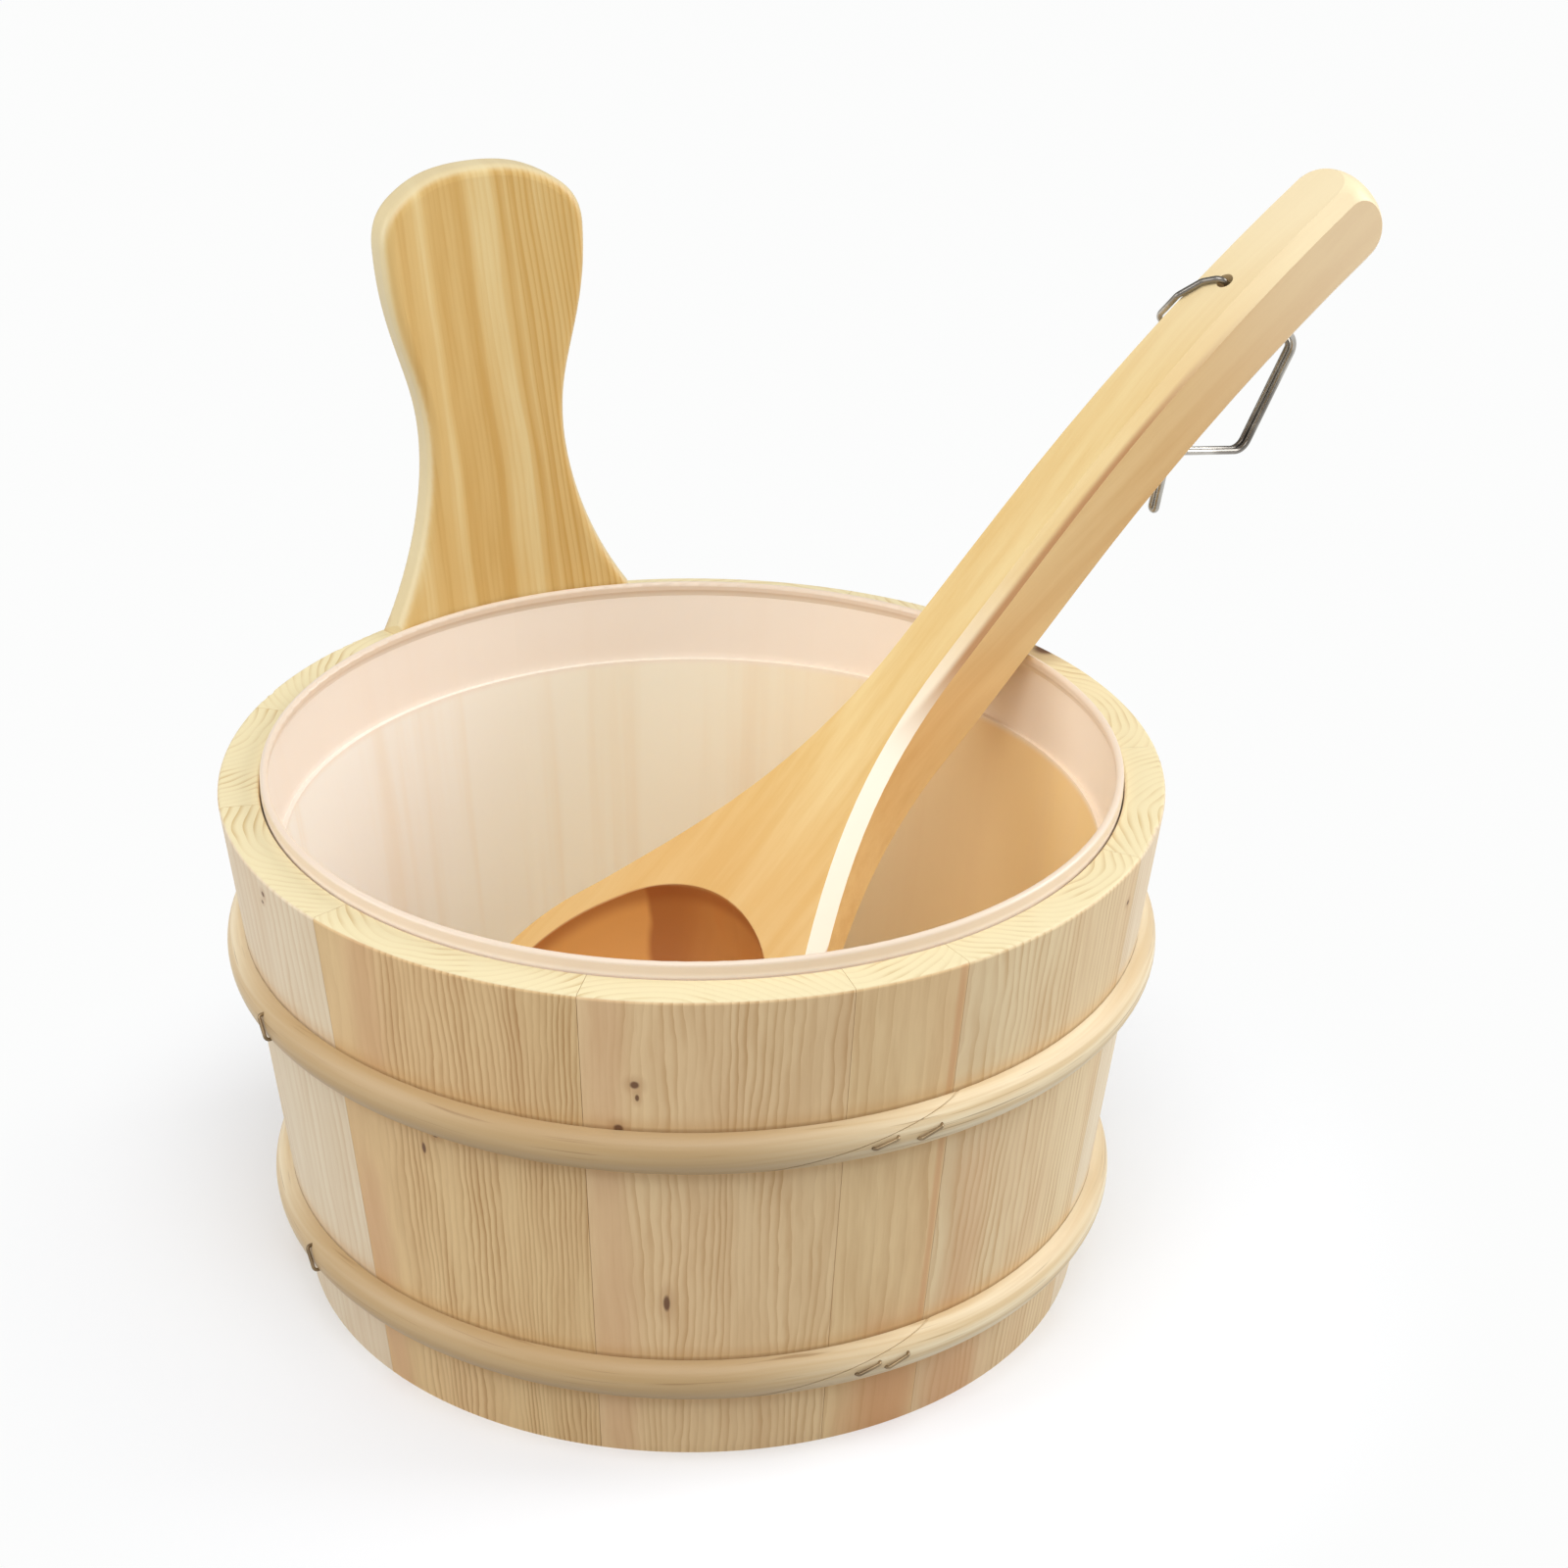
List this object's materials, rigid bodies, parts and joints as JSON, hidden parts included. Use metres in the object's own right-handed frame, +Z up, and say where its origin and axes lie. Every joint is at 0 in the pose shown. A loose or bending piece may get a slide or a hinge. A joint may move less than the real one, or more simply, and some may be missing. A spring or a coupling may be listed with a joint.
{
  "type": "wooden piggin",
  "caption": "Staved wooden piggin: flared pail with a paddle handle rising from one stave, wooden hoops, a lift-out plastic liner and a long ladle with a wire hook.",
  "frame": {"origin": "on the floor, under the middle of the whole set's bounding box", "axes": "+Z up the pail's axis; +X towards the raised end of the ladle; +Y towards the paddle handle"},
  "size_m": [0.3756, 0.277, 0.2825],
  "materials": {
    "stave_wood": "planed pale pine, unvarnished",
    "handle_wood": "planed pale pine with bold straight grain, rounded edges",
    "board_wood": "planed pale pine",
    "hoop_wood": "smooth half-round strip",
    "ladle_wood": "smooth, bevelled along the handle",
    "liner_plastic": "milky, slightly translucent, satin gloss",
    "steel_wire": "drawn steel wire"
  },
  "bodies": {
    "pail": {"handle_stave": "handle_wood", "stave_02": "stave_wood", "stave_03": "stave_wood", "stave_04": "stave_wood", "stave_05": "stave_wood", "stave_06": "stave_wood", "stave_07": "stave_wood", "stave_08": "stave_wood", "stave_09": "stave_wood", "stave_10": "stave_wood", "stave_11": "stave_wood", "stave_12": "stave_wood", "bottom_board_left": "board_wood", "bottom_board_middle": "board_wood", "bottom_board_right": "board_wood", "upper_hoop": "hoop_wood", "lower_hoop": "hoop_wood", "upper_hoop_staples": "steel_wire", "lower_hoop_staples": "steel_wire"},
    "liner": {"liner": "liner_plastic"},
    "ladle": {"ladle": "ladle_wood"},
    "hook": {"ladle_hook": "steel_wire"}
  },
  "joints": [
    {"name": "liner_lift", "type": "slide", "parent": "pail", "child": "liner", "axis": [0, 0, 1], "range_m": [0, 0.27]},
    {"name": "ladle_lift", "type": "slide", "parent": "liner", "child": "ladle", "axis": [0, 0, 1], "range_m": [0, 0.27]},
    {"name": "hook_swing", "type": "hinge", "parent": "ladle", "child": "hook", "pos_m": [0.14052, 0.02002, 0.24122], "axis": [0.0993, -0.9951, 0], "range_deg": [-2.2, 0]}
  ]
}
